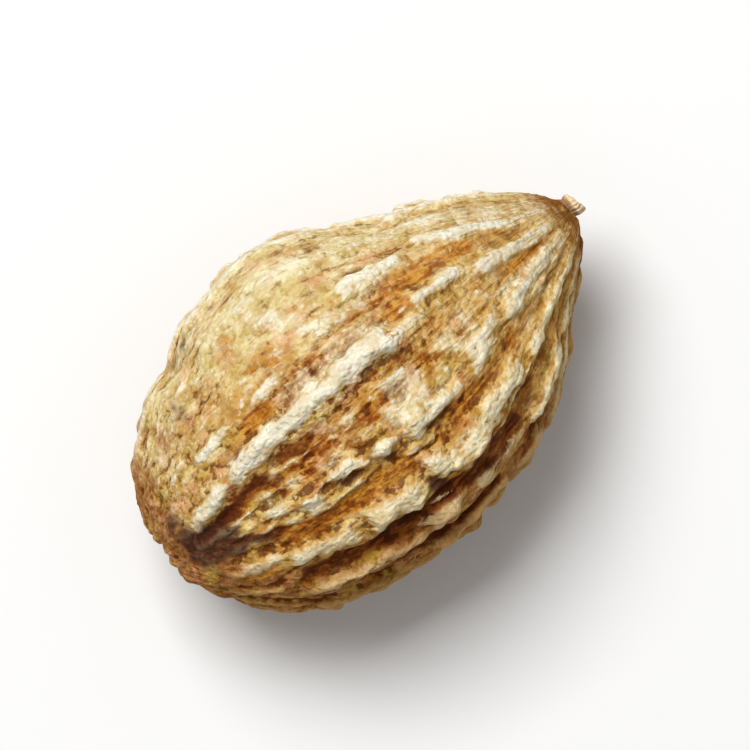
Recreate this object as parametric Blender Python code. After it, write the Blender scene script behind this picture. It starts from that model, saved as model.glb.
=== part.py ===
"""A dried sharp-leaf galangal fruit: a ridged, spindle-shaped capsule and the stub of its stalk.

The long axis lies along X, with the stalk at +X and the blunt, scarred end at -X. The fruit lies
on a small flat spot at Z = 0, and the origin is the centre of the underside of its bounding box.
An angle around the long axis is measured from straight up, towards +Y.
"""

import math

import bmesh
import bpy
from mathutils import Matrix

MM = 0.001

# Driving sizes of the capsule
WIDEST_X = -0.8 * MM
BLUNT_LENGTH = 7.95 * MM
TIP_LENGTH = 9.2 * MM
RADIUS = 5.44 * MM
HEIGHT_TO_WIDTH = 0.95
AXIS_HEIGHT = 4.86 * MM

# The profile from the widest place to an end is (1 - u ** fullness) ** roundness, u running to 1
BLUNT_FULLNESS = 1.8
BLUNT_ROUNDNESS = 0.42
TIP_FULLNESS = 1.7
TIP_ROUNDNESS = 0.86
TIP_CUT = 0.945

# The three valves of the capsule make its section very slightly three-sided
VALVE_SWELL = 0.018
VALVE_ANGLE = math.radians(-35)

# Lengthwise ribs as (degrees at the blunt end, degrees at the tip, height in mm), once round
RIBS = [
    (2, 11, 0.46), (20, 34, 0.30), (48, 56, 0.14), (76, 80, 0.26),
    (103, 99, 0.34), (128, 124, 0.40), (152, 147, 0.28), (174, 171, 0.20),
    (-19, -18, 0.32), (-42, -40, 0.50), (-62, -59, 0.46), (-79, -77, 0.40),
    (-98, -101, 0.44), (-120, -123, 0.38), (-142, -146, 0.30), (-163, -168, 0.20),
]
RIB_WIDTH = math.radians(6.2)
RIB_FADE = 0.6
KNOB_SHARE = 0.18
KNOB_PITCH = 3.9 * MM
KNOB_SHIFT = 1.7

# Sunken and swollen places as (x, angle in degrees, half length, half width in degrees, depth), in mm
HOLLOWS = [
    (3.2, 82, 1.9, 38, 1.00), (6.3, 86, 1.6, 45, 0.55), (-4.9, 84, 0.8, 30, 0.42), (-7.0, 86, 1.4, 45, 0.50),
    (3.6, -85, 2.6, 34, -0.34), (6.6, -86, 1.3, 40, 0.50), (-6.0, -84, 1.5, 38, -0.40),
    (-4.4, -140, 1.6, 24, 0.24), (2.6, 138, 2.0, 24, 0.26),
]

# The puckered scar of the flower sits in a shallow dimple at the blunt end
SCAR_RADIUS = 0.75 * MM
SCAR_DEPTH = 0.35 * MM

# The stalk stub stands just off the tip, a little to the +Y side of the long axis
STALK_GAP = 0.3 * MM
STALK_END_X = 8.6 * MM
STALK_Y = 0.12 * MM
STALK_RADIUS = 0.42 * MM
STALK_FLARE = 1.12

SEGMENTS_AROUND = 108
RINGS_ALONG = 38
STALK_SEGMENTS = 16


def clear_scene():
    """Remove every object of the open scene."""
    for old in list(bpy.data.objects):
        bpy.data.objects.remove(old, do_unlink=True)


def make_material(name, colour, roughness):
    """A plain dry material with the piece's own colour."""
    material = bpy.data.materials.new(name)
    material.use_nodes = True
    shader = material.node_tree.nodes["Principled BSDF"]
    shader.inputs["Base Color"].default_value = (*colour, 1.0)
    shader.inputs["Roughness"].default_value = roughness
    shader.inputs["Metallic"].default_value = 0.0
    return material


def angle_between(a, b):
    """Smallest signed turn from b to a."""
    return math.remainder(a - b, math.tau)


def profile(along):
    """X position and plain radius at along, from -1 at the blunt end to 1 at the tip."""
    if along < 0:
        rest = max(0.0, 1 - (-along) ** BLUNT_FULLNESS)
        return WIDEST_X + along * BLUNT_LENGTH, RADIUS * rest ** BLUNT_ROUNDNESS
    reach = along * TIP_CUT
    rest = 1 - reach ** TIP_FULLNESS
    return WIDEST_X + reach * TIP_LENGTH, RADIUS * rest ** TIP_ROUNDNESS


def rib_height(x, turn):
    """Height of the ribs: one bell curve across each rib, swelling into knobs along its length."""
    forward = (x - WIDEST_X + BLUNT_LENGTH) / (BLUNT_LENGTH + TIP_LENGTH)
    height = 0.0
    for number, (blunt_angle, tip_angle, tall) in enumerate(RIBS):
        path = math.radians(blunt_angle + (tip_angle - blunt_angle) * forward)
        offset = angle_between(turn, path) / RIB_WIDTH
        knobs = 1 + KNOB_SHARE * math.sin(math.tau * x / KNOB_PITCH + KNOB_SHIFT * number)
        height += tall * MM * knobs * math.exp(-offset * offset)
    return height


def hollow_depth(x, turn):
    """Depth of the sunken places: a bell curve along and around each one."""
    depth = 0.0
    for centre, degrees, half_length, half_width, deep in HOLLOWS:
        along = (x / MM - centre) / half_length
        across = angle_between(turn, math.radians(degrees)) / math.radians(half_width)
        depth += deep * MM * math.exp(-along * along - across * across)
    return depth


def capsule_point(direction):
    """Move a point of the unit sphere, whose poles are on X, to the capsule's surface."""
    turn = math.atan2(direction.y, direction.z)
    x, plain = profile(max(-1.0, min(1.0, direction.x)))
    share = plain / RADIUS
    swell = 1 + VALVE_SWELL * math.cos(3 * (turn - VALVE_ANGLE))
    radius = plain * swell + share ** RIB_FADE * rib_height(x, turn) - share * hollow_depth(x, turn)
    if direction.x < 0:
        x += SCAR_DEPTH * math.exp(-((plain / SCAR_RADIUS) ** 2))
    y = radius * math.sin(turn)
    z = AXIS_HEIGHT + radius * math.cos(turn) * HEIGHT_TO_WIDTH
    return x, y, max(0.0, z)


def finish_object(name, bm, collection, material):
    """Write the mesh into a named object of the collection, shaded smooth."""
    bmesh.ops.recalc_face_normals(bm, faces=bm.faces)
    mesh = bpy.data.meshes.new(name)
    bm.to_mesh(mesh)
    bm.free()
    mesh.materials.append(material)
    mesh.shade_smooth()
    part = bpy.data.objects.new(name, mesh)
    collection.objects.link(part)
    return part


def build_capsule(collection):
    """The capsule: a sphere drawn out to the spindle, ribbed, and pressed flat where it rests."""
    bm = bmesh.new()
    bmesh.ops.create_uvsphere(bm, u_segments=SEGMENTS_AROUND, v_segments=RINGS_ALONG, radius=1.0)
    bmesh.ops.rotate(bm, verts=bm.verts, matrix=Matrix.Rotation(math.pi / 2, 3, "Y"))
    for vert in bm.verts:
        vert.co = capsule_point(vert.co)
    tan = make_material("dried_skin", (0.45, 0.30, 0.14), 0.85)
    return finish_object("fruit_capsule", bm, collection, tan)


def build_stalk(collection):
    """The stalk stub: a short woody peg, wider at its root, which stands off the tip by a hair."""
    tip_x = profile(1.0)[0]
    root_x = tip_x + STALK_GAP
    length = STALK_END_X - root_x
    bm = bmesh.new()
    bmesh.ops.create_cone(
        bm, cap_ends=True, segments=STALK_SEGMENTS, radius1=STALK_RADIUS * STALK_FLARE,
        radius2=STALK_RADIUS, depth=length)
    bmesh.ops.rotate(bm, verts=bm.verts, matrix=Matrix.Rotation(math.pi / 2, 3, "Y"))
    bmesh.ops.translate(bm, verts=bm.verts, vec=(root_x + length / 2, STALK_Y, AXIS_HEIGHT))
    cream = make_material("dried_stalk", (0.70, 0.55, 0.33), 0.8)
    return finish_object("stalk_stub", bm, collection, cream)


clear_scene()
fruit = bpy.data.collections.new("sharp_leaf_galangal_fruit")
bpy.context.scene.collection.children.link(fruit)
build_capsule(fruit)
build_stalk(fruit)
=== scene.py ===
# A dried sharp-leaf galangal fruit, lying on its side on a pale table and seen from straight above.
# Its long axis is X, with the stalk at +X. Lengths are in millimetres until a mesh is written.

import math

import bpy
import numpy as np
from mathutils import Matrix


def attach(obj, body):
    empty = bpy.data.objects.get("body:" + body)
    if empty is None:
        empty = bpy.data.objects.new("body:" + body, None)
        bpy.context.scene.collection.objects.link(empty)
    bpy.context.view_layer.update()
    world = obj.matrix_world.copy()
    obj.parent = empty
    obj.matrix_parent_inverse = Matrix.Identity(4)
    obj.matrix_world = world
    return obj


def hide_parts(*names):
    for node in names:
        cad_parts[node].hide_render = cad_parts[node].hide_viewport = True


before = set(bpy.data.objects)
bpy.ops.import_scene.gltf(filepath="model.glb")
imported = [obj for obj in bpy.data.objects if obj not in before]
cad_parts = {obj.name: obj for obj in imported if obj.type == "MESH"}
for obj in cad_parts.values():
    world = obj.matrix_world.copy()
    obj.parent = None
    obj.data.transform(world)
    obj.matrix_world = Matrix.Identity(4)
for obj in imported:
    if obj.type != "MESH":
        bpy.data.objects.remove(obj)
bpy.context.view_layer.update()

# The capsule. It is the whole dried fruit: a thin, tough skin that shrank onto the seeds inside, with
# the cords of fibre that ran up the fresh fruit left standing as ribs. It grew as one piece, so it is
# one closed surface, run round the long axis and along it from the blunt end to the stalk.
MM = 0.001
CAPSULE_ROWS = 226
CAPSULE_COLUMNS = 440
OUTLINE_STEPS = 4001

# The spindle. An angle round the long axis is measured from straight up, towards +Y
WIDEST_X = -0.8
BLUNT_LENGTH = 7.95
TIP_LENGTH = 9.2
RADIUS = 5.44
HEIGHT_TO_WIDTH = 0.95
AXIS_HEIGHT = 4.86
BLUNT_FULLNESS = 1.8
BLUNT_ROUNDNESS = 0.42
TIP_FULLNESS = 1.7
TIP_ROUNDNESS = 0.86
TIP_CUT = 0.978
VALVES = 3
VALVE_SWELL = 0.018
VALVE_ANGLE = math.radians(-35)

# Each hollow: x, degrees, half length, half width in degrees, depth (a swelling is a negative depth)
HOLLOWS = [
    (3.2, 82, 1.9, 38, 1.00), (6.3, 86, 1.6, 45, 0.55), (-4.9, 84, 0.8, 30, 0.42),
    (-7.0, 86, 1.4, 45, 0.50), (3.6, -85, 2.6, 34, -0.34), (6.6, -86, 1.3, 40, 0.50),
    (-6.0, -84, 1.5, 38, -0.40), (-4.4, -140, 1.6, 24, 0.24), (2.6, 138, 2.0, 24, 0.26),
]

# The ribs that run the whole length: degrees at the blunt end and at the tip, and height. Each is a low
# foot with knobs along it
RIBS = [
    (2, 11, 0.46), (20, 34, 0.30), (48, 56, 0.14), (76, 80, 0.26),
    (103, 99, 0.34), (128, 124, 0.40), (152, 147, 0.28), (174, 171, 0.20),
    (-19, -18, 0.32), (-42, -40, 0.50), (-62, -59, 0.46), (-79, -77, 0.40),
    (-98, -101, 0.44), (-120, -123, 0.38), (-142, -146, 0.30), (-163, -168, 0.20),
]
RIB_FOOT_SHARE = 0.3
RIB_FOOT_WIDTH = 0.62
RIB_FOOT_TAPER = 0.5
RIB_TAPER = 0.35

# What runs lengthwise is drawn in stretches. Each goes from one x and degrees to another x and degrees,
# and has a strength, which is the height of a knob and the depth of a groove, and a half width
KNOBS = [
    # Along the top
    (8.0, 2, 4.6, 9, 0.26, 0.34), (4.2, 14, 2.4, 12, 0.24, 0.26), (1.25, 7.5, -5.67, 5.8, 0.42, 0.41),
    (-5.8, 5, -7.6, -1, 0.32, 0.30),
    # Down the +Y side
    (8.0, 24, 3.6, 38, 0.22, 0.40), (3.0, 34, 0.8, 31, 0.24, 0.36), (-0.5, 27, -1.9, 46, 0.05, 0.50),
    (-2.4, 21, -3.4, 20, 0.16, 0.20), (-4.6, 21, -6.1, 19, 0.20, 0.23),
    (-4.7, 53, -5.9, 52, 0.09, 0.28), (5.8, 58, -2.4, 54, 0.07, 0.50),
    (7.8, 84, 3.2, 79, 0.22, 0.42), (2.6, 80, -4.4, 77, 0.14, 0.46), (-5.4, 77, -7.8, 76, 0.16, 0.32),
    # Down the -Y side
    (8.0, -16, 4.3, -19, 0.28, 0.34), (3.9, -18, 2.5, -20, 0.24, 0.42), (1.5, -22, -0.4, -21, 0.30, 0.32),
    (1.2, -15, -0.4, -17, 0.12, 0.50), (-0.8, -19, -1.5, -20, 0.30, 0.24),
    (-1.9, -19, -3.2, -18, 0.20, 0.22), (-3.6, -21, -4.5, -21, 0.24, 0.40),
    (-4.8, -17, -5.5, -16, 0.18, 0.28), (-6.0, -34, -7.6, -37, 0.24, 0.24),
    (8.0, -41, 4.4, -41, 0.30, 0.32), (3.7, -39, 1.4, -39, 0.36, 0.36),
    (1.5, -40.5, 0.5, -41, 0.46, 0.56), (0.45, -40, -0.6, -35.5, 0.40, 0.42),
    (-1.25, -41, -3.3, -39, 0.42, 0.50), (-3.55, -40, -5.8, -38.5, 0.36, 0.40),
    (7.4, -68, 5.5, -69, 0.28, 0.28), (5.2, -65, 3.0, -64, 0.34, 0.38), (1.0, -60, 0.2, -60, 0.20, 0.22),
    (-0.4, -58, -1.8, -58, 0.34, 0.26), (-2.1, -61, -3.4, -60, 0.28, 0.22),
    (-3.6, -59, -6.2, -58, 0.30, 0.22), (-6.4, -52, -7.9, -57, 0.26, 0.26),
    (7.4, -83, 3.4, -82, 0.28, 0.28), (3.0, -80, 1.4, -79, 0.28, 0.26), (1.2, -75, -2.2, -75, 0.32, 0.28),
    (-2.8, -80, -6.2, -79, 0.32, 0.28), (-6.4, -77, -7.9, -75, 0.22, 0.24),
]
GROOVES = [
    (3.6, -54, 2.4, -56, 0.06, 0.40), (2.7, -56, 0.5, -56, 0.16, 0.44), (0.8, -55, -1.0, -52, 0.18, 0.32),
    (-0.7, -53, -3.4, -53, 0.20, 0.38), (-3.1, -52, -5.9, -50, 0.11, 0.36),
    (-2.6, -1, -4.2, -2, 0.08, 0.16), (-4.4, -4, -6.1, -4, 0.10, 0.27), (-5.8, -4, -6.9, -6, 0.10, 0.18),
    (-4.0, -35, -5.5, -26, 0.05, 0.28), (-5.2, -27, -6.9, -17, 0.10, 0.20),
    (5.4, -72, 2.6, -73, 0.14, 0.20), (0.8, -71, -3.4, -72, 0.14, 0.20),
    (-3.8, -71, -6.0, -70, 0.12, 0.18),
]
ORANGE_STAINS = [
    (5.0, 24, 1.8, 23, 1.2, 0.42), (6.2, 22, 5.2, 24, 0.7, 0.24), (-3.8, 14, -6.4, 13, 0.5, 0.24),
    (-3.1, 15.5, -4.2, 15.5, 1.3, 0.30), (-1.8, 31, -3.1, 31, 0.8, 0.26),
    (-1.8, 27, -2.6, 27, 1.0, 0.28), (-2.6, 48, -3.4, 48, 0.75, 0.40), (-3.4, 27, -4.2, 27, 0.5, 0.30),
    (4.2, -29, 2.6, -32, 0.6, 0.26), (4.6, -12, 3.6, -11, 0.5, 0.30), (-0.8, -31, -5.6, -29, 0.9, 0.36),
    (7.5, -6, 5.0, -3, 0.9, 0.28), (2.4, -27, 1.6, -27, 1.0, 0.36), (5.4, -28, 1.0, -30, 0.6, 0.34),
    (8.1, 26, 7.0, 24, 0.8, 0.50), (8.1, -30, 6.2, -30, 0.5, 0.26), (8.1, -52, 5.6, -52, 0.5, 0.30),
    (-5.6, -44, -7.6, -40, 0.7, 0.40), (4.3, -26, 3.8, -33, 1.1, 0.26), (4.3, -46, 3.6, -46, 1.0, 0.26),
    (2.4, 14, 1.5, 12, 1.2, 0.40), (-1.6, 23, -4.4, 23, 0.65, 0.40),
]
PALE_PATCHES = [
    (3.6, -10, 2.0, -9, 0.45, 0.80), (1.2, -8, -0.2, -8, 1.0, 0.50), (1.0, -13, -0.8, -14, 0.85, 0.60),
    (1.4, -19, -0.3, -19, 0.7, 0.40), (2.2, -31, 0.2, -31, 0.4, 0.40), (-0.5, 27, -2.1, 49, 1.0, 0.66),
    (7.6, 44, 2.8, 62, 0.55, 1.1), (-1.0, -9, -3.4, -11, 0.5, 0.50), (-3.8, -8, -5.4, -11, 0.45, 0.50),
    (2.6, 28, 0.9, 28, 0.6, 0.40), (-2.0, -4, -3.6, -8, 0.4, 0.60), (1.3, 14, -2.9, 14, 0.75, 0.46),
    (-4.5, 13, -5.6, 12, 0.4, 0.30), (7.2, -12, 4.6, -12, 0.7, 0.36), (7.6, -26, 3.4, -28, 0.38, 0.90),
    (1.3, 24, -0.6, 24, 0.9, 0.38),
]
# Dark marks, partly the skin's own stains and partly painted shadow. The thin lines under ribs and knobs
# are painted shadow. The dark at the blunt end and in hollows is both
DARK_STAINS_AND_SHADOWS = [
    (-6.4, -16, -8.2, -12, 1.3, 0.90), (-5.6, -26, -6.9, -18, 0.8, 0.30),
    (-7.7, 14, -8.4, 12, 0.75, 0.46), (2.3, 27, 1.6, 26, 0.5, 0.16), (-5.2, 46, -6.8, 46, 0.45, 0.80),
    (-3.9, 74, -5.0, 74, 0.5, 0.9), (-4.6, -3, -6.8, -4, 0.6, 0.12), (-0.4, 1, -3.0, 0, 0.35, 0.08),
    (-0.9, -22, -1.6, -23, 1.0, 0.12), (1.1, -25, 0.3, -25, 0.9, 0.12),
    (-0.35, -46, -1.1, -42, 1.2, 0.50), (-1.55, -19, -1.85, -19, 0.8, 0.25),
    (-1.9, -23, -3.3, -22, 0.7, 0.12), (-3.4, 142, -5.8, 139, 0.6, 0.40),
    (4.4, -151, 2.6, -149, 0.6, 0.44),
]
STRENGTH = 4
STRETCH_END = 0.30
STRETCH_TAPER = 0.3
STRETCH_LEAST_WIDTH = 0.05
GROOVE_FULL_DEPTH = 0.12

# The knobs of the ribs past this many degrees from the top can't be seen, so they are drawn at random:
# the first and last x, where each rib's own angle is read off, and (least, most) of what is drawn
HIDDEN_FROM = 95
HIDDEN_FIRST_X = 7.9
HIDDEN_LAST_START = -7.4
HIDDEN_LAST_X = -7.9
RIB_START_X = -8.75
RIB_SPAN = 16.75
HIDDEN_LENGTH = (1.0, 3.6)
HIDDEN_SWERVE = (-2.5, 2.5)
HIDDEN_HEIGHT_SHARE = (0.7, 1.0)
HIDDEN_HALF_WIDTH = (0.24, 0.36)
HIDDEN_BREAK = (0.15, 0.45)

# Thin strands of fibre lie all round, each drawn at random in the same way
STRAND_COUNT = 130
STRAND_START = (-6.6, 7.6)
STRAND_LENGTH = (0.8, 3.2)
STRAND_ANGLE = (-180, 180)
STRAND_HEIGHT = (0.06, 0.14)
STRAND_SWERVE = (-3, 3)
STRAND_HALF_WIDTH = (0.09, 0.16)
STRAND_SHOULDER_LOSS = 0.6

# How much bare pale fibre the knobs and strands show: more on taller knobs, less under dark stains and
# painted shadows and, by the (x, share) points, towards the two ends
CREST_LEAST = 0.35
CREST_GAIN = 2.6
STRAND_CREST = 0.45
DARK_MARK_CREST_LOSS = 0.8
CREST_GROOVE_LOSS = 0.8
CREST_SHARE = ((-8.6, 0.2), (-7.3, 1.0), (5.2, 1.0), (6.8, 0.7), (8.0, 0.25))

# The smooth pale shoulder on the +Y side. Its skin, and by the (x, share) points that of the tip, is
# cleaner than the rest
SHOULDER_X = -0.6
SHOULDER_REACH = 6.0
SHOULDER_ANGLE = math.radians(62)
SHOULDER_SPREAD = math.radians(36)
SHOULDER_SMOOTHNESS = 0.55
SHOULDER_CLEANNESS = 0.35
CLEAN_SHARE = ((1.5, 0.0), (4.5, 0.6))

# The top is paler. Elsewhere, and towards the two ends, a darker tan is painted that is partly the skin's
# own tone and partly painted shade: how far round from the middle of the top, and how much, at some
# places along x
PALE_TOP_ANGLE = math.radians(28)
PALE_TOP_REACH = (
    (-8.0, math.radians(48)), (-5.5, math.radians(80)), (-1.0, math.radians(80)),
    (5.0, math.radians(112)),
)
PALE_TOP_FADE = math.radians(7)
PALE_TOP_SHARE = ((-8.4, 0.0), (-7.0, 1.0), (7.0, 1.0), (8.0, 0.2))

# Painted warm shade on the -Y side and the underside, standing in for warm light bounced into the shade:
# the middle, the reach and the fade
SHADE_TINT_ANGLE = math.radians(-130)
SHADE_TINT_REACH = math.radians(125)
SHADE_TINT_FADE = math.radians(40)

# The scar that the flower left at the blunt end: a dimple with a pleated rim
SCAR_RADIUS = 0.62
SCAR_DEPTH = 0.42
SCAR_RIM_RADIUS = 0.95
SCAR_RIM_WIDTH = 0.28
SCAR_RIM_HEIGHT = 0.11
SCAR_PLEATS = 13
SCAR_PLEAT_DEPTH = 0.45
SCAR_PLEAT_SWERVE = 2.0
SCAR_PLEAT_SIZE = 0.5

# How uneven the lines, edges and knobs of the ribs are. A SIZE is that of the cells of a noise: one
# number, or one lengthwise and two across
WANDER = math.radians(1.6)
WANDER_SIZE = (2.0, 2.4, 2.4)
SHIVER = math.radians(0.8)
SHIVER_SIZE = 0.6
RAGGED_SIDE = 0.24
RAGGED_SIDE_SIZE = 0.36
RAGGED_END = 0.2
RAGGED_END_SIZE = 0.5
SWELLING = 0.22
SWELLING_SIZE = (0.8, 1.3, 1.3)
BEAD_SIZE = (1.0, 0.72, 0.72)
BEAD_BASE = 0.86
BEAD_SHARE = 0.18

# The relief of the skin between the ribs and over them, from broad lumps to pimples
DOME_MIDDLE = 0.6
LUMP_HEIGHT = 0.12
LUMP_SIZE = 2.6
CREASE_DEPTH = 0.07
CREASE_SIZE = (1.9, 0.85, 0.85)
CREASE_SHARPNESS = 2.2
CREASE_TAPER = 0.5
CRINKLE_DEPTH = 0.05
CRINKLE_SIZE = (0.62, 0.46, 0.46)
CRINKLE_SHARPNESS = 2.4
CREST_CRINKLE_LOSS = 0.5
NODULE_HEIGHT = 0.13
GRANULE_HEIGHT = 0.040
GRANULE_SIZE = (0.44, 0.34, 0.34)
CRUMPLE_HEIGHT = 0.05
CRUMPLE_SIZE = 0.62
FIBRE_HEIGHT = 0.022
FIBRE_SIZE = (1.3, 0.24, 0.24)
FIBRE_TAPER = 0.6
PIMPLE_HEIGHT = 0.012
PIMPLE_SIZE = 0.18

# The relief that the colours follow: what a blur of this width takes away, and what lies between two
# blurs, each with the height that counts as its whole range
FINE_BLUR = 0.22
FINE_RANGE = 0.16
BROAD_BLURS = (0.10, 0.80)
BROAD_RANGE = 0.6
BLUR_REACH = 2.5
BLUR_LEAST_RADIUS = 0.2

# The fibre pattern is read at a place squeezed along its length, so it comes out drawn lengthwise
FIBRE_SQUEEZE = 0.28

CELL_PRIMES = (73856093, 19349663, 83492791)
CELL_NUMBERS = 4096
NOISE_SCALE = 1.6


def profile(along):
    """X and plain radius at along, from -1 at the blunt end to 1 at the tip.

    The radius is RADIUS * (1 - u ** fullness) ** roundness, where u is the share of the way from
    the widest place to that end, and the tip is cut a little short where the stalk comes out.
    """
    blunt = np.clip(-along, 0, 1)
    tip = np.clip(along, 0, 1) * TIP_CUT
    blunt_radius = (1 - blunt ** BLUNT_FULLNESS) ** BLUNT_ROUNDNESS
    tip_radius = (1 - tip ** TIP_FULLNESS) ** TIP_ROUNDNESS
    x = WIDEST_X - blunt * BLUNT_LENGTH + tip * TIP_LENGTH
    return x, RADIUS * np.where(along < 0, blunt_radius, tip_radius)


def even_rows(count):
    """Values of along at the middles of count equal steps of the outline, and the length of one step.
    The outline's length is added up over OUTLINE_STEPS points and read off backwards."""
    fine = -np.cos(np.linspace(0, math.pi, OUTLINE_STEPS))
    x, radius = profile(fine)
    steps = np.hypot(np.diff(x), np.diff(radius))
    travelled = np.concatenate([[0], np.cumsum(steps)])
    wanted = (np.arange(count) + 0.5) / count * travelled[-1]
    return np.interp(wanted, travelled, fine), travelled[-1] / count


def cell_number(cell):
    """A number below CELL_NUMBERS for each unit cell: its three whole coordinates, each times a large
    prime, put together bit by bit with exclusive or."""
    return np.bitwise_xor.reduce(cell * CELL_PRIMES, axis=-1) % CELL_NUMBERS


def soft_noise(points, seed):
    """Gradient noise, about -1 to 1: the slope drawn for each corner of the unit cell that holds a
    point, times the way from that corner, blended by 6t^5 - 15t^4 + 10t^3 in each direction."""
    slopes = np.random.default_rng(seed).normal(size=(CELL_NUMBERS, 3))
    slopes /= np.linalg.norm(slopes, axis=1, keepdims=True)
    cell = np.floor(points).astype(np.int64)
    inside = points - cell
    ease = inside ** 3 * (inside * (inside * 6 - 15) + 10)
    total = np.zeros(points.shape[:-1])
    for corner in np.ndindex(2, 2, 2):
        corner = np.array(corner)
        slope = slopes[cell_number(cell + corner)]
        weight = np.prod(np.where(corner == 1, ease, 1 - ease), axis=-1)
        total += weight * np.sum(slope * (inside - corner), axis=-1)
    return total * NOISE_SCALE


def grains(points, seed):
    """Rounded grains: each unit cell holds one centre, drawn anywhere in it. Returns 1 - d ** 2, where
    d is the way to the nearest centre, and the shade from 0 to 1 drawn for that centre."""
    drawn = np.random.default_rng(seed).random((CELL_NUMBERS, 4))
    cell = np.floor(points).astype(np.int64)
    nearest = np.full(points.shape[:-1], np.inf)
    shade = np.zeros(points.shape[:-1])
    for neighbour in np.ndindex(3, 3, 3):
        place = cell + np.array(neighbour) - 1
        number = cell_number(place)
        squared = np.sum((points - place - drawn[number, :3]) ** 2, axis=-1)
        shade = np.where(squared < nearest, drawn[number, 3], shade)
        nearest = np.minimum(nearest, squared)
    return 1 - nearest, shade


def folds(points, sharpness, seed):
    """Narrow folds along the lines where a soft noise is 0: (1 - sharpness * |noise|) ** 2, and 0
    where that bracket is negative."""
    return np.maximum(0, 1 - sharpness * np.abs(soft_noise(points, seed))) ** 2


def turn_between(a, b):
    """The smallest signed turn from b to a: a - b, brought to between minus and plus half a turn."""
    return (a - b + math.pi) % math.tau - math.pi


def read_off(points, places):
    """The value at each place of a broken line, given as (place, value) points."""
    return np.interp(places, *zip(*points))


def bell(distance):
    """A bell curve, exp(-distance ** 2)."""
    return np.exp(-distance ** 2)


def eased(share):
    """A share from 0 to 1 with a soft start and end: share ** 2 * (3 - 2 * share)."""
    return share ** 2 * (3 - 2 * share)


def hollow_depth(x, turn):
    """Depth of the sunken places: a bell curve along and around each one."""
    depth = np.zeros_like(x)
    for centre, degrees, half_length, half_width, deep in HOLLOWS:
        across = turn_between(turn, math.radians(degrees)) / math.radians(half_width)
        depth += deep * bell((x - centre) / half_length) * bell(across)
    return depth


def hidden_knobs(draw):
    """Knobs for the ribs that are out of sight, laid along each rib from the tip to the blunt end with
    short breaks between them."""
    knobs = []
    for blunt_angle, tip_angle, tall in RIBS:
        if abs(blunt_angle) < HIDDEN_FROM:
            continue
        start = HIDDEN_FIRST_X
        while start > HIDDEN_LAST_START:
            end = max(HIDDEN_LAST_X, start - draw.uniform(*HIDDEN_LENGTH))
            angle = blunt_angle + (tip_angle - blunt_angle) * (start - RIB_START_X) / RIB_SPAN
            first, last = angle + draw.uniform(*HIDDEN_SWERVE, 2)
            height = tall * draw.uniform(*HIDDEN_HEIGHT_SHARE)
            knobs.append((start, first, end, last, height, draw.uniform(*HIDDEN_HALF_WIDTH)))
            start = end - draw.uniform(*HIDDEN_BREAK)
    return knobs


def fine_strands(draw):
    """Thin raised strands scattered all round, lower on the smooth shoulder."""
    strands = []
    for _ in range(STRAND_COUNT):
        start = draw.uniform(*STRAND_START)
        end = start - draw.uniform(*STRAND_LENGTH)
        angle = draw.uniform(*STRAND_ANGLE)
        smooth = bell(turn_between(math.radians(angle), SHOULDER_ANGLE) / SHOULDER_SPREAD)
        height = draw.uniform(*STRAND_HEIGHT) * (1 - STRAND_SHOULDER_LOSS * smooth)
        last = angle + draw.uniform(*STRAND_SWERVE)
        strands.append((start, angle, end, last, height, draw.uniform(*STRAND_HALF_WIDTH)))
    return strands


# The last number given to soft_noise, grains and folds below is the seed of its own random draw.
# smooth_place is a point's place on the bare spindle. flow is its place on an even tube, so a pattern
# read there keeps running lengthwise, and fibre_flow is that tube drawn in at the blunt end
row_places, row_step = even_rows(CAPSULE_ROWS)
column_turns = np.linspace(-math.pi, math.pi, CAPSULE_COLUMNS, endpoint=False)
along, turn = np.meshgrid(row_places, column_turns, indexing="ij")
travelled = np.broadcast_to(row_step * np.arange(CAPSULE_ROWS)[:, None], along.shape)
x, plain = profile(along)
share = plain / RADIUS
bare = plain * (1 + VALVE_SWELL * np.cos(VALVES * (turn - VALVE_ANGLE))) - share * hollow_depth(x, turn)
smooth_place = np.stack([x, bare * np.sin(turn), bare * np.cos(turn)], axis=-1)
flow = np.stack([travelled, RADIUS * np.sin(turn), RADIUS * np.cos(turn)], axis=-1)
drawn_in = np.where(along < 0, share ** FIBRE_TAPER, 1)[..., None]
fibre_flow = flow * np.concatenate([np.ones_like(drawn_in), drawn_in, drawn_in], axis=-1)

wandering = WANDER * soft_noise(flow / WANDER_SIZE, 11)
wandered = turn + wandering + SHIVER * soft_noise(flow / SHIVER_SIZE, 14)
ragged = RAGGED_SIDE * soft_noise(smooth_place / RAGGED_SIDE_SIZE, 15)
ragged_x = x + RAGGED_END * soft_noise(smooth_place / RAGGED_END_SIZE, 28)
swelling = 1 + SWELLING * soft_noise(flow / SWELLING_SIZE, 12)
bead, _ = grains(smooth_place / BEAD_SIZE, 16)
# The share of the pale top at each point. Where it falls off, the darker tan is partly painted shade
past_pale_top = np.abs(turn_between(turn, PALE_TOP_ANGLE)) - read_off(PALE_TOP_REACH, x)
pale_top_and_painted_shade = read_off(PALE_TOP_SHARE, x) / (1 + np.exp(past_pale_top / PALE_TOP_FADE))
from_shoulder = turn_between(turn, SHOULDER_ANGLE) / SHOULDER_SPREAD
shoulder = bell((x - SHOULDER_X) / SHOULDER_REACH) * bell(from_shoulder)
# Painted warm shade: how much of the warm tint each point takes
painted_warm_shade = np.clip((SHADE_TINT_REACH - np.abs(turn_between(turn, SHADE_TINT_ANGLE))) / SHADE_TINT_FADE, 0, 1)


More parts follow.
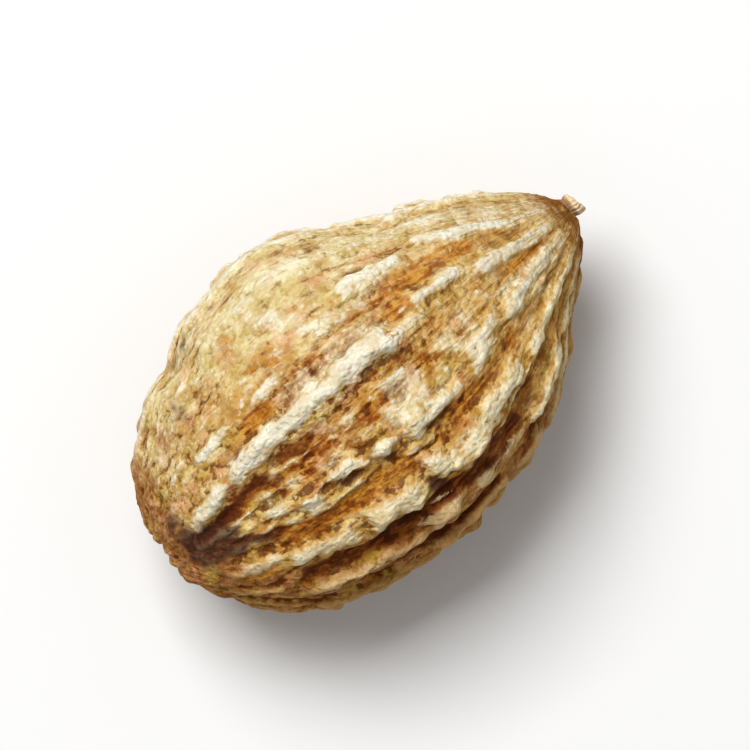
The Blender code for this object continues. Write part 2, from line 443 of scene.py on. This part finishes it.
def stretch_shape(stretch):
    """How much of a stretch each place has: across it exp(-|d| ** 3), where d is the way from its
    line in half widths, made ragged, and at each end an eased step down over a ragged line."""
    start, first, end, last, _, half_width = stretch
    path = np.radians(first + (last - first) * (x - start) / (end - start))
    thin = np.maximum(half_width * share ** STRETCH_TAPER, STRETCH_LEAST_WIDTH)
    across = np.maximum(np.abs(turn_between(wandered, path)) * plain / thin + ragged, 0)
    from_start = np.clip((start + STRETCH_END - ragged_x) / (2 * STRETCH_END), 0, 1)
    from_end = np.clip((ragged_x - end + STRETCH_END) / (2 * STRETCH_END), 0, 1)
    return np.exp(-across ** 3) * (eased(from_start) * eased(from_end))


def strongest(stretches):
    """The strongest of the stretches at each place, each shape times its strength."""
    return np.max([stretch[STRENGTH] * stretch_shape(stretch) for stretch in stretches], axis=0)


draw = np.random.default_rng(7)
knobs = KNOBS + hidden_knobs(draw)
strands = fine_strands(draw)
ribs = np.zeros_like(x)
crest = np.zeros_like(x)
for blunt_angle, tip_angle, tall in RIBS:
    path = np.radians(blunt_angle + (tip_angle - blunt_angle) * (along + 1) / 2)
    across = turn_between(wandered, path) * plain / (RIB_FOOT_WIDTH * share ** RIB_FOOT_TAPER)
    ribs += RIB_FOOT_SHARE * tall * bell(across)
for stretch in knobs:
    shape = stretch_shape(stretch)
    ribs += stretch[STRENGTH] * swelling * (BEAD_BASE + BEAD_SHARE * bead) * shape
    crest = np.maximum(crest, min(1, CREST_LEAST + CREST_GAIN * stretch[STRENGTH]) * shape)
for stretch in strands:
    shape = stretch_shape(stretch)
    ribs += stretch[STRENGTH] * shape
    crest = np.maximum(crest, STRAND_CREST * shape)
# The dark stains and painted shadows, which also take the pale fibre off the ribs
stain_and_shadow = strongest(DARK_STAINS_AND_SHADOWS)
crest = crest * read_off(CREST_SHARE, x) * (1 - DARK_MARK_CREST_LOSS * np.clip(stain_and_shadow, 0, 1))
groove = strongest(GROOVES) * (1 - CREST_GROOVE_LOSS * crest)
ribs = share ** RIB_TAPER * (ribs - groove)

scar = SCAR_DEPTH * bell(plain / SCAR_RADIUS)
swerve = SCAR_PLEAT_SWERVE * soft_noise(smooth_place / SCAR_PLEAT_SIZE, 17)
pleated = 1 + SCAR_PLEAT_DEPTH * np.cos(SCAR_PLEATS * turn + swerve)
rim = SCAR_RIM_HEIGHT * bell((plain - SCAR_RIM_RADIUS) / SCAR_RIM_WIDTH) * pleated
radius = bare + ribs
skin = np.stack([
    x + np.where(along < 0, scar - rim, 0), radius * np.sin(turn),
    AXIS_HEIGHT + radius * np.cos(turn) * HEIGHT_TO_WIDTH], axis=-1)


def outward(surface):
    """Unit normals of a grid of points that closes on itself around its second direction: the step
    along crossed with the step around."""
    around = np.roll(surface, -1, axis=1) - np.roll(surface, 1, axis=1)
    lengthwise = np.gradient(surface, axis=0)
    normal = np.cross(lengthwise, around)
    return normal / np.linalg.norm(normal, axis=-1, keepdims=True)


rough_ground = 1 - SHOULDER_SMOOTHNESS * shoulder
grain, grain_shade = grains(smooth_place / GRANULE_SIZE, 22)
lumps = LUMP_HEIGHT * soft_noise(skin / LUMP_SIZE, 21)
creases = -CREASE_DEPTH * folds(flow / CREASE_SIZE, CREASE_SHARPNESS, 23) * share ** CREASE_TAPER
crinkles = -CRINKLE_DEPTH * folds(smooth_place / CRINKLE_SIZE, CRINKLE_SHARPNESS, 27)
crinkles = crinkles * (1 - CREST_CRINKLE_LOSS * crest) * rough_ground
nodules = NODULE_HEIGHT * (bead - DOME_MIDDLE) * (1 - crest) * rough_ground
granules = GRANULE_HEIGHT * (grain - DOME_MIDDLE)
crumples = CRUMPLE_HEIGHT * soft_noise(skin / CRUMPLE_SIZE, 25) * rough_ground
fibres = FIBRE_HEIGHT * soft_noise(fibre_flow / FIBRE_SIZE, 24)
pimples = PIMPLE_HEIGHT * soft_noise(skin / PIMPLE_SIZE, 26)
detail = lumps + creases + crinkles + nodules + granules + crumples + fibres + pimples
skin = skin + detail[..., None] * outward(skin)
skin[..., 2] = np.maximum(skin[..., 2], 0)


def smoothed(field, width):
    """A field of the capsule blurred by a bell curve of that width: around, its k-th harmonic is
    damped by exp(-(k * width / radius) ** 2 / 2), and along, rows are averaged with bell weights."""
    harmonics = np.arange(field.shape[1] // 2 + 1)
    damping = np.exp(-(harmonics * width / np.maximum(plain[:, :1], BLUR_LEAST_RADIUS)) ** 2 / 2)
    around = np.fft.irfft(np.fft.rfft(field, axis=1) * damping, n=field.shape[1], axis=1)
    reach = math.ceil(BLUR_REACH * width / row_step)
    weights = np.exp(-(np.arange(-reach, reach + 1) * row_step / width) ** 2 / 2)
    weights /= weights.sum()
    padded = np.pad(around, ((reach, reach), (0, 0)), mode="edge")
    rows = len(field)
    return sum(weight * padded[first:first + rows] for first, weight in enumerate(weights))


height = ribs + detail - np.where(along < 0, scar - rim, 0)
fine_relief = height - smoothed(height, FINE_BLUR)
broad_relief = smoothed(height, BROAD_BLURS[0]) - smoothed(height, BROAD_BLURS[1])


def with_end_points(field):
    """The values of a grid in one list, and after them the mean of its first row and of its last row,
    for the two points that close the ends."""
    ends = [field[0].mean(axis=0), field[-1].mean(axis=0)]
    return np.concatenate([field.reshape(-1, *field.shape[2:]), ends])


def closed_mesh(name, grid):
    """A mesh over a grid of points whose rows follow +X and whose columns turn from +Z to +Y, closed
    at each end by a fan to the end row's mean point. Every face is wound to point outward."""
    rows, columns = grid.shape[:2]
    row, column = np.meshgrid(np.arange(rows - 1), np.arange(columns), indexing="ij")
    following = (column + 1) % columns
    quads = np.stack([
        row * columns + column, (row + 1) * columns + column,
        (row + 1) * columns + following, row * columns + following], axis=-1).reshape(-1, 4)
    edge = np.arange(columns)
    after = (edge + 1) % columns
    last = (rows - 1) * columns
    first_fan = np.stack([edge, after, np.full(columns, rows * columns)], axis=-1)
    last_fan = np.stack([last + after, last + edge, np.full(columns, rows * columns + 1)], axis=-1)
    faces = quads.tolist() + first_fan.tolist() + last_fan.tolist()
    mesh = bpy.data.meshes.new(name)
    mesh.from_pydata((with_end_points(grid) * MM).tolist(), [], faces)
    mesh.shade_smooth()
    return mesh


def keep_on_points(mesh, name, field):
    """Store a number, or a place of three, for each point of a closed_mesh."""
    kind, entry = ("FLOAT", "value") if field.ndim == 2 else ("FLOAT_VECTOR", "vector")
    values = with_end_points(field).astype(np.float32).ravel()
    mesh.attributes.new(name, kind, "POINT").data.foreach_set(entry, values)


capsule_mesh = closed_mesh("fruit_capsule_skin", skin)
keep_on_points(capsule_mesh, "orange_stain", strongest(ORANGE_STAINS))
keep_on_points(capsule_mesh, "dark_stain_and_shadow", stain_and_shadow)
keep_on_points(capsule_mesh, "groove", np.clip(groove / GROOVE_FULL_DEPTH, 0, 1))
keep_on_points(capsule_mesh, "scar", np.where(along < 0, bell(plain / SCAR_RADIUS), 0))
keep_on_points(capsule_mesh, "pale_patch", strongest(PALE_PATCHES))
keep_on_points(capsule_mesh, "pale_shoulder", shoulder)
clean_skin = np.maximum(SHOULDER_CLEANNESS * shoulder, read_off(CLEAN_SHARE, x))
keep_on_points(capsule_mesh, "clean_skin", clean_skin)
keep_on_points(capsule_mesh, "painted_warm_shade", painted_warm_shade)
keep_on_points(capsule_mesh, "pale_top_and_painted_shade", pale_top_and_painted_shade)
keep_on_points(capsule_mesh, "crest", crest)
keep_on_points(capsule_mesh, "fine_relief", np.clip(0.5 + fine_relief / FINE_RANGE, 0, 1))
keep_on_points(capsule_mesh, "broad_relief", np.clip(0.5 + broad_relief / BROAD_RANGE, 0, 1))
keep_on_points(capsule_mesh, "grain_shade", grain_shade)
keep_on_points(capsule_mesh, "fibre_place", fibre_flow * (MM * FIBRE_SQUEEZE, MM, MM))
capsule = bpy.data.objects.new("fruit_capsule_skin", capsule_mesh)
bpy.context.scene.collection.objects.link(capsule)

PALE_STRAW = (0.74, 0.55, 0.240)
WARM_STRAW = (0.55, 0.325, 0.090)
SHOULDER_CREAM = (0.80, 0.745, 0.45)
PATCH_CREAM = (0.84, 0.78, 0.56)
OLIVE_GOLD = (0.52, 0.355, 0.065)
ROSY_TAN = (0.68, 0.32, 0.17)
GOLDEN_BROWN = (0.58, 0.265, 0.035)
RED_BROWN = (0.12, 0.026, 0.003)
RUST_BROWN = (0.33, 0.100, 0.012)
DARK_BROWN = (0.072, 0.019, 0.010)
CREST_CREAM = (0.82, 0.77, 0.61)
RIB_TAN_AND_SHADE = (0.52, 0.30, 0.10)
UNDERSIDE_TAN_AND_SHADE = (0.34, 0.135, 0.026)
PAINTED_SHADE_TINT = (1.0, 0.94, 0.76)

# The sizes of the patterns, in cells a metre
SKIN_CELLS = 5200
FIBRE_CELLS = 5600
MOTTLE_CELLS = 1500
HUE_CELLS = 1000

# How far each lies over what is under it, or keeps something off it
SHOULDER_COVER = 0.85
STAIN_COVER = 0.85
PATCH_SHELTER = 0.6
RUBBED_SHELTER = 0.45
SHOULDER_SHELTER = 0.3

# What is left of red, green and blue in the darkest grain, and in the lightest
DARKEST_GRAIN = {"Red": 0.76, "Green": 0.60, "Blue": 0.34}
LIGHTEST_GRAIN = 1.04

SKIN_SPECULAR = 0.15
SKIN_BUMP = 0.9
SKIN_BUMP_DEPTH = 0.09 * MM
FIBRE_BUMP_SHARE = 1.6

NOISE_OCTAVES = 4
SPECKLE_ROUGHNESS = 0.7
CELL_SHADE_SHARE = 0.34
CELL_DOME_HEIGHT = 1.1


def join(tree, value, socket):
    """Link an output socket to an input, or set the input to a number or colour."""
    if isinstance(value, bpy.types.NodeSocket):
        tree.links.new(value, socket)
    else:
        socket.default_value = value


def add_node(tree, kind, **inputs):
    """Add a node; each input is a number or colour to set, or an output socket to link."""
    node = tree.nodes.new(kind)
    for name, value in inputs.items():
        join(tree, value, node.inputs[name.replace("_", " ")])
    return node


def calculate(tree, operation, first, second):
    """One sum, product or other operation on two numbers."""
    node = tree.nodes.new("ShaderNodeMath")
    node.operation = operation
    join(tree, first, node.inputs[0])
    join(tree, second, node.inputs[1])
    return node.outputs["Value"]


def times(tree, product, *factors):
    """The product of some numbers."""
    for factor in factors:
        product = calculate(tree, "MULTIPLY", product, factor)
    return product


def noise(tree, place, scale, roughness, output="Fac"):
    """Fractal noise at a scale in cells a metre: one from 0 to 1, or with output Color three that have
    nothing to do with one another."""
    node = add_node(
        tree, "ShaderNodeTexNoise", Vector=place, Scale=scale, Detail=NOISE_OCTAVES, Roughness=roughness)
    return node.outputs[output]


def dry_grain_group():
    """The fine grain of any dry plant skin: cells of the given size, each with its own shade, mixed
    with fractal noise. Shade is about 0 to 1 with its middle at 0.5, and Height feeds a bump."""
    group = bpy.data.node_groups.new("dry_grain", "ShaderNodeTree")
    group.interface.new_socket("Place", in_out="INPUT", socket_type="NodeSocketVector")
    group.interface.new_socket("Cells", in_out="INPUT", socket_type="NodeSocketFloat")
    group.interface.new_socket("Shade", in_out="OUTPUT", socket_type="NodeSocketFloat")
    group.interface.new_socket("Height", in_out="OUTPUT", socket_type="NodeSocketFloat")
    given = group.nodes.new("NodeGroupInput").outputs
    result = group.nodes.new("NodeGroupOutput").inputs
    cells = add_node(group, "ShaderNodeTexVoronoi", Vector=given["Place"], Scale=given["Cells"])
    own = add_node(group, "ShaderNodeSeparateColor", Color=cells.outputs["Color"]).outputs["Red"]
    speckle = noise(group, given["Place"], given["Cells"], SPECKLE_ROUGHNESS)
    uncentred = calculate(group, "ADD", times(group, own, CELL_SHADE_SHARE), speckle)
    dome = times(group, cells.outputs["Distance"], -CELL_DOME_HEIGHT)
    join(group, calculate(group, "ADD", uncentred, -CELL_SHADE_SHARE / 2), result["Shade"])
    join(group, calculate(group, "ADD", dome, speckle), result["Height"])
    return group


def dry_grain(tree, place, cells):
    """Put the dry grain into a material and return its two outputs."""
    node = tree.nodes.new("ShaderNodeGroup")
    node.node_tree = DRY_GRAIN
    join(tree, place, node.inputs["Place"])
    join(tree, cells, node.inputs["Cells"])
    return node.outputs["Shade"], node.outputs["Height"]


def attribute(tree, name, output="Fac"):
    """The number, or with output Vector the place, stored on the mesh under name."""
    node = tree.nodes.new("ShaderNodeAttribute")
    node.attribute_name = name
    return node.outputs[output]


def spread(tree, value, start, end, after=1.0, before=0.0):
    """A smooth step: before up to start, after from end on, and between them 3t^2 - 2t^3 of the way,
    where t is the share of the way from start to end. The end may be the smaller number."""
    node = tree.nodes.new("ShaderNodeMapRange")
    node.interpolation_type = "SMOOTHSTEP"
    for socket, given in zip(node.inputs, (value, start, end, before, after)):
        join(tree, given, socket)
    return node.outputs["Result"]


def frayed(tree, mask, *shakes):
    """A mask with its edges broken up: the mask plus, for each noise and its amount, amount times the
    noise about its middle, 0.5."""
    for shake, amount in shakes:
        swing = times(tree, calculate(tree, "ADD", shake, -0.5), amount)
        mask = calculate(tree, "ADD", mask, swing)
    return mask


def tinted(tree, amount, under, over, mode="MIX"):
    """Lay one colour over another by amount."""
    node = tree.nodes.new("ShaderNodeMix")
    node.data_type = "RGBA"
    node.blend_type = mode
    node.clamp_factor = True
    join(tree, amount, node.inputs[0])
    for colour, socket in ((under, node.inputs[6]), (over, node.inputs[7])):
        join(tree, colour if isinstance(colour, bpy.types.NodeSocket) else (*colour, 1), socket)
    return node.outputs[2]


DRY_GRAIN = dry_grain_group()
skin_material = bpy.data.materials.new("dried_skin")
skin_material.use_nodes = True
tree = skin_material.node_tree
shader = tree.nodes["Principled BSDF"]
place = tree.nodes.new("ShaderNodeTexCoord").outputs["Object"]
speck, speck_height = dry_grain(tree, place, SKIN_CELLS)
fibre = noise(tree, attribute(tree, "fibre_place", "Vector"), FIBRE_CELLS, roughness=0.6)
mottle = noise(tree, place, MOTTLE_CELLS, roughness=0.65)
hues = noise(tree, place, HUE_CELLS, roughness=0.6, output="Color")
olive_noise, rosy_noise, tan_noise = add_node(tree, "ShaderNodeSeparateColor", Color=hues).outputs[:3]
pale_side = attribute(tree, "pale_shoulder")
fine = frayed(tree, attribute(tree, "fine_relief"), (speck, 0.9), (fibre, 0.7))
broad = frayed(tree, attribute(tree, "broad_relief"), (mottle, 0.6), (fibre, 0.35))
streak = frayed(tree, fibre, (mottle, 0.8))
rust = tinted(tree, spread(tree, streak, 0.36, 0.56), RUST_BROWN, GOLDEN_BROWN)
dusk = tinted(tree, spread(tree, streak, 0.42, 0.68), RED_BROWN, RUST_BROWN)
# Bare fibre is cream on the pale top and a darker tan below it. That tan is partly the fibre's own and
# partly painted shade
rib_fibre_and_shade = tinted(tree, attribute(tree, "pale_top_and_painted_shade"), RIB_TAN_AND_SHADE, CREST_CREAM)

# The ground: straw, cream on the shoulder, a darker tan away from the pale top that is partly own tone
# and partly painted shade, and paler worn patches
pale_straw = spread(tree, frayed(tree, tan_noise, (fibre, 0.5)), 0.40, 0.60)
colour = tinted(tree, pale_straw, WARM_STRAW, PALE_STRAW)
colour = tinted(tree, times(tree, pale_side, SHOULDER_COVER), colour, SHOULDER_CREAM)
underside_tan_and_shade = frayed(tree, attribute(tree, "pale_top_and_painted_shade"), (mottle, 0.8))
underside_tan_and_shade = spread(tree, underside_tan_and_shade, 0.8, 0.2, after=0.95)
colour = tinted(tree, underside_tan_and_shade, colour, UNDERSIDE_TAN_AND_SHADE)
patch = frayed(tree, attribute(tree, "pale_patch"), (mottle, 1.2), (fibre, 0.6))
patch = spread(tree, patch, 0.20, 0.85)
colour = tinted(tree, patch, colour, PATCH_CREAM)

# Olive and rosy casts, less of them where the skin is clean
exposed = calculate(tree, "SUBTRACT", 1.0, attribute(tree, "clean_skin"))
olive = spread(tree, frayed(tree, olive_noise, (fibre, 0.4)), 0.50, 0.62, after=0.75)
colour = tinted(tree, times(tree, olive, exposed), colour, OLIVE_GOLD)
rosy = spread(tree, frayed(tree, rosy_noise, (fibre, 0.4)), 0.51, 0.64, after=0.6)
colour = tinted(tree, times(tree, rosy, exposed), colour, ROSY_TAN)

# Browns: rust in what is sunken between the ribs, red brown in pits, dusk in the deepest places, each
# partly the skin's own colour and partly painted shade in the low places, and over them the orange stains
exposed = calculate(tree, "SUBTRACT", exposed, times(tree, patch, PATCH_SHELTER))
off_ribs = spread(tree, attribute(tree, "crest"), 0.55, 0.10)
sunken = times(tree, spread(tree, broad, 0.48, 0.22), times(tree, exposed, off_ribs))
colour = tinted(tree, sunken, colour, rust)
pitted = times(tree, spread(tree, fine, 0.36, 0.04, after=0.8), exposed)
colour = tinted(tree, pitted, colour, RED_BROWN)
deep = times(tree, spread(tree, broad, 0.24, 0.04), exposed)
colour = tinted(tree, deep, colour, dusk)
stain = frayed(tree, attribute(tree, "orange_stain"), (mottle, 0.9), (fibre, 1.2))
stain = times(tree, spread(tree, stain, 0.25, 0.95), off_ribs, STAIN_COVER)
colour = tinted(tree, stain, colour, rust)

# Darks: the grooves and the very deepest places, partly their own colour and partly painted shade; the
# dark stains and painted shadows; and the scar
furrow = frayed(tree, attribute(tree, "groove"), (speck, 0.5), (fibre, 0.9))
colour = tinted(tree, spread(tree, furrow, 0.15, 0.8, after=0.95), colour, dusk)
colour = tinted(tree, spread(tree, broad, 0.10, -0.05), colour, DARK_BROWN)
dirt_and_shadow = frayed(tree, attribute(tree, "dark_stain_and_shadow"), (mottle, 1.2), (fibre, 1.0))
dirt_and_shadow = spread(tree, dirt_and_shadow, 0.15, 1.0, after=0.9)
colour = tinted(tree, dirt_and_shadow, colour, DARK_BROWN)
scar_dirt = frayed(tree, attribute(tree, "scar"), (fibre, 1.0), (speck, 0.5))
colour = tinted(tree, spread(tree, scar_dirt, 0.15, 0.9, after=0.85), colour, RED_BROWN)

# Bare fibre, rubbed pale on the ribs and on every raised grain, wherever no dark stain or painted shadow
# lies
clear_of_dirt_and_shadow = calculate(tree, "SUBTRACT", 1.0, dirt_and_shadow)
top = frayed(tree, attribute(tree, "crest"), (mottle, 0.6), (fibre, 0.7))
rubbed = times(tree, spread(tree, top, 0.30, 0.95), spread(tree, fine, 0.12, 0.60), clear_of_dirt_and_shadow)
colour = tinted(tree, rubbed, colour, rib_fibre_and_shade)
raised = times(tree, spread(tree, fine, 0.62, 1.0, after=0.75), clear_of_dirt_and_shadow)
colour = tinted(tree, raised, colour, rib_fibre_and_shade)

# Each grain's own shade, weaker on rubbed ribs and on the shoulder, and the painted warm shade on the -Y
# side and underside
own = frayed(tree, attribute(tree, "grain_shade"), (speck, 1.6), (mottle, 0.8), (fibre, 1.4))
shaded = add_node(tree, "ShaderNodeCombineColor", **{
    channel: spread(tree, own, -0.2, 1.0, before=darkest, after=LIGHTEST_GRAIN)
    for channel, darkest in DARKEST_GRAIN.items()}).outputs["Color"]
open_to_shade = calculate(tree, "SUBTRACT", 1.0, times(tree, rubbed, RUBBED_SHELTER))
open_to_shade = calculate(tree, "SUBTRACT", open_to_shade, times(tree, pale_side, SHOULDER_SHELTER))
colour = tinted(tree, open_to_shade, colour, shaded, "MULTIPLY")
colour = tinted(tree, attribute(tree, "painted_warm_shade"), colour, PAINTED_SHADE_TINT, "MULTIPLY")
join(tree, colour, shader.inputs["Base Color"])
join(tree, spread(tree, fine, 0.2, 0.8, before=0.88, after=0.66), shader.inputs["Roughness"])
shader.inputs["Specular IOR Level"].default_value = SKIN_SPECULAR
skin_height = calculate(tree, "ADD", speck_height, times(tree, fibre, FIBRE_BUMP_SHARE))
bump = add_node(
    tree, "ShaderNodeBump", Strength=SKIN_BUMP, Distance=SKIN_BUMP_DEPTH, Height=skin_height)
join(tree, bump.outputs["Normal"], shader.inputs["Normal"])
capsule_mesh.materials.append(skin_material)
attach(capsule, "root")
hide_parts("fruit_capsule")


# The stalk stub. It is the last of the fruit's own stalk, a short woody nub of straight fibres that
# snapped off when the fruit was picked. It grew out of the tip, so its root runs a little way into it.
STALK_ROWS = 110
STALK_COLUMNS = 140

# The outline: a flared root, a narrow neck, a swollen end with a rounded edge, and the broken face,
# which starts at the side share of the rows and stops short of its middle, where a fan closes it
STALK_ROOT_X = 7.5
STALK_NECK_X = 8.20
STALK_END_X = 8.52
STALK_LIMIT_X = 8.60
STALK_Y = 0.12
STALK_RADIUS = 0.41
STALK_NECK_RADIUS = 0.27
STALK_SWELL_AT_NECK = 0.5
STALK_ROOT_FLARE = 0.16
STALK_ROOT_REACH = 0.4
STALK_ROOT_FADE = 0.22
STALK_ROUNDING = 0.16
STALK_ROUNDING_DEPTH = 0.6
STALK_ROUNDING_LIMIT = 0.98
STALK_SIDE_SHARE = 0.6
STALK_FACE_LIMIT = 0.985
STALK_FACE_FULLNESS = 2.4

# The fibres and unevenness of its bark, as shares of the radius and sizes on a tube of radius 1
STALK_FIBRES = 17
STALK_BARK_LENGTH = 1.8
FLUTE_SHARE = 0.035
FLUTE_SWERVE = 3.0
FLUTE_SWERVE_SIZE = 0.7
FLUTE_CHANGE_SIZE = 0.4
FLUTE_SHADE = 0.35
BULGE_SHARE = 0.14
BULGE_SIZE = 0.9
DENT_SHARE = 0.05
DENT_SIZE = 0.3

# The break, which is slanted, splintered and a little hollow in the middle. It shows on the face and
# on the last of this many parts of the side
BREAK_PARTS = 5
BREAK_SLANT = 0.11
SPLINTER_HEIGHT = 0.05
SPLINTER_SIZE = 0.16
PITH_DEPTH = 0.05
PITH_SIZE = 0.35

stalk_steps = np.linspace(0, 1, STALK_ROWS)
stalk_turns = np.linspace(-math.pi, math.pi, STALK_COLUMNS, endpoint=False)
step, turn = np.meshgrid(stalk_steps, stalk_turns, indexing="ij")
side = np.clip(step / STALK_SIDE_SHARE, 0, 1)
inward = np.clip((step - STALK_SIDE_SHARE) / (1 - STALK_SIDE_SHARE), 0, STALK_FACE_LIMIT)
bark = np.stack([STALK_BARK_LENGTH * side, np.sin(turn), np.cos(turn)], axis=-1)
x = STALK_ROOT_X + (STALK_END_X - STALK_ROOT_X) * side
swerve = FLUTE_SWERVE * soft_noise(bark / FLUTE_SWERVE_SIZE, 41)
flute = np.cos(STALK_FIBRES * turn + swerve) * (1 + soft_noise(bark / FLUTE_CHANGE_SIZE, 44))
swell = eased(np.clip((x - STALK_NECK_X) / (STALK_END_X - STALK_NECK_X) + STALK_SWELL_AT_NECK, 0, 1))
flare = STALK_ROOT_FLARE * bell((x - STALK_ROOT_X) / STALK_ROOT_REACH)
radius = STALK_NECK_RADIUS + (STALK_RADIUS - STALK_NECK_RADIUS) * swell + flare
bulges = BULGE_SHARE * soft_noise(bark / BULGE_SIZE, 42)
dents = DENT_SHARE * soft_noise(bark / DENT_SIZE, 45)
radius = radius * (1 + FLUTE_SHARE * flute + bulges + dents)
rounded = np.clip((x - STALK_END_X) / STALK_ROUNDING + 1, 0, 1)
drop = STALK_ROUNDING * STALK_ROUNDING_DEPTH * (1 - np.sqrt(1 - STALK_ROUNDING_LIMIT * rounded ** 2))
radius = (radius - drop) * np.sqrt(1 - inward ** STALK_FACE_FULLNESS)
y = STALK_Y + radius * np.sin(turn)
z = AXIS_HEIGHT + radius * np.cos(turn)
broken = np.clip(side * BREAK_PARTS - (BREAK_PARTS - 1), 0, 1)
splinter = SPLINTER_HEIGHT * soft_noise(np.stack([0 * y, y, z], axis=-1) / SPLINTER_SIZE, 43)
pith = -PITH_DEPTH * bell((1 - inward) / PITH_SIZE) * (inward > 0)
x = x + broken * (splinter + pith - BREAK_SLANT * np.sin(turn) * radius / STALK_RADIUS)
stalk_skin = np.stack([np.minimum(x, STALK_LIMIT_X), y, z], axis=-1)
past_root = np.clip((stalk_skin[..., 0] - STALK_NECK_X) / STALK_ROOT_FADE, 0, 1)
stalk_mesh = closed_mesh("stalk_stub_wood", stalk_skin)
keep_on_points(stalk_mesh, "flute", 0.5 + FLUTE_SHADE * flute * (1 - inward))
keep_on_points(stalk_mesh, "root", 1 - past_root)
keep_on_points(stalk_mesh, "broken_end", inward)
stalk = bpy.data.objects.new("stalk_stub_wood", stalk_mesh)
bpy.context.scene.collection.objects.link(stalk)

STALK_CREAM = (0.78, 0.60, 0.36)
STALK_BROWN = (0.26, 0.11, 0.035)
PITH_TAN = (0.56, 0.36, 0.16)
STALK_CELLS = 7000
STALK_SPECULAR = 0.3
STALK_BUMP = 0.8
STALK_BUMP_DEPTH = 0.04 * MM

stalk_material = bpy.data.materials.new("dried_stalk")
stalk_material.use_nodes = True
tree = stalk_material.node_tree
shader = tree.nodes["Principled BSDF"]
place = tree.nodes.new("ShaderNodeTexCoord").outputs["Object"]
speck, speck_height = dry_grain(tree, place, STALK_CELLS)
between_fibres = frayed(tree, attribute(tree, "flute"), (speck, 1.2))
between_fibres = spread(tree, between_fibres, 0.42, 0.0, after=0.7)
colour = tinted(tree, between_fibres, STALK_CREAM, STALK_BROWN)
near_root = spread(tree, frayed(tree, attribute(tree, "root"), (speck, 0.6)), 0.25, 0.8, after=0.85)
colour = tinted(tree, near_root, colour, STALK_BROWN)
inner_wood = frayed(tree, attribute(tree, "broken_end"), (speck, 1.2))
inner_wood = spread(tree, inner_wood, 0.4, 1.0, after=0.7)
colour = tinted(tree, inner_wood, colour, PITH_TAN)
join(tree, colour, shader.inputs["Base Color"])
join(tree, spread(tree, speck, 0.3, 0.7, before=0.85, after=0.65), shader.inputs["Roughness"])
shader.inputs["Specular IOR Level"].default_value = STALK_SPECULAR
bump = add_node(
    tree, "ShaderNodeBump", Strength=STALK_BUMP, Distance=STALK_BUMP_DEPTH, Height=speck_height)
join(tree, bump.outputs["Normal"], shader.inputs["Normal"])
stalk_mesh.materials.append(stalk_material)
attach(stalk, "root")
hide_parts("stalk_stub")


# The table: a plain pale surface under the fruit, a soft lamp overhead towards the top left of the
# picture, and a camera that looks straight down. Lengths here are in metres.
TABLE_SIZE = 0.8
TABLE_WHITE = (0.80, 0.80, 0.79, 1)
TABLE_ROUGHNESS = 0.6

bpy.ops.mesh.primitive_plane_add(size=TABLE_SIZE)
table = bpy.context.object
table.name = "pale_table"
table_material = bpy.data.materials.new("pale_table")
table_material.use_nodes = True
shader = table_material.node_tree.nodes["Principled BSDF"]
shader.inputs["Base Color"].default_value = TABLE_WHITE
shader.inputs["Roughness"].default_value = TABLE_ROUGHNESS
table.data.materials.append(table_material)

# The camera is turned so that the long axis lies this far above the horizontal of the picture
AXIS_TILT = math.radians(40)
CAMERA_DISTANCE = 0.32
FRAME_WIDTH = 0.024
SENSOR_WIDTH = 36

camera_data = bpy.data.cameras.new("camera")
camera_data.sensor_width = SENSOR_WIDTH
camera_data.lens = SENSOR_WIDTH * (CAMERA_DISTANCE - AXIS_HEIGHT * MM) / FRAME_WIDTH
camera = bpy.data.objects.new("camera", camera_data)
camera.location = (0, 0, CAMERA_DISTANCE)
camera.rotation_euler = (0, 0, -AXIS_TILT)
bpy.context.scene.collection.objects.link(camera)
bpy.context.scene.camera = camera

# The lamp's way right and up in the picture, its height over the table, its side and its power in watts
LAMP_RIGHT = -0.11
LAMP_UP = 0.16
LAMP_HEIGHT = 0.36
LAMP_SIZE = 0.20
LAMP_POWER = 1.76
STUDIO_STRENGTH = 0.36

lamp_data = bpy.data.lights.new("main_lamp", "AREA")
lamp_data.size = LAMP_SIZE
lamp_data.energy = LAMP_POWER
lamp = bpy.data.objects.new("main_lamp", lamp_data)
lamp_x = LAMP_RIGHT * math.cos(AXIS_TILT) + LAMP_UP * math.sin(AXIS_TILT)
lamp_y = LAMP_UP * math.cos(AXIS_TILT) - LAMP_RIGHT * math.sin(AXIS_TILT)
lamp.location = (lamp_x, lamp_y, LAMP_HEIGHT)
lamp.rotation_euler = (-lamp.location).to_track_quat("-Z", "Y").to_euler()
bpy.context.scene.collection.objects.link(lamp)
world = bpy.data.worlds.new("studio")
world.use_nodes = True
world.node_tree.nodes["Background"].inputs["Color"].default_value = (1, 1, 1, 1)
world.node_tree.nodes["Background"].inputs["Strength"].default_value = STUDIO_STRENGTH
bpy.context.scene.world = world
bpy.context.scene.view_settings.view_transform = "Standard"
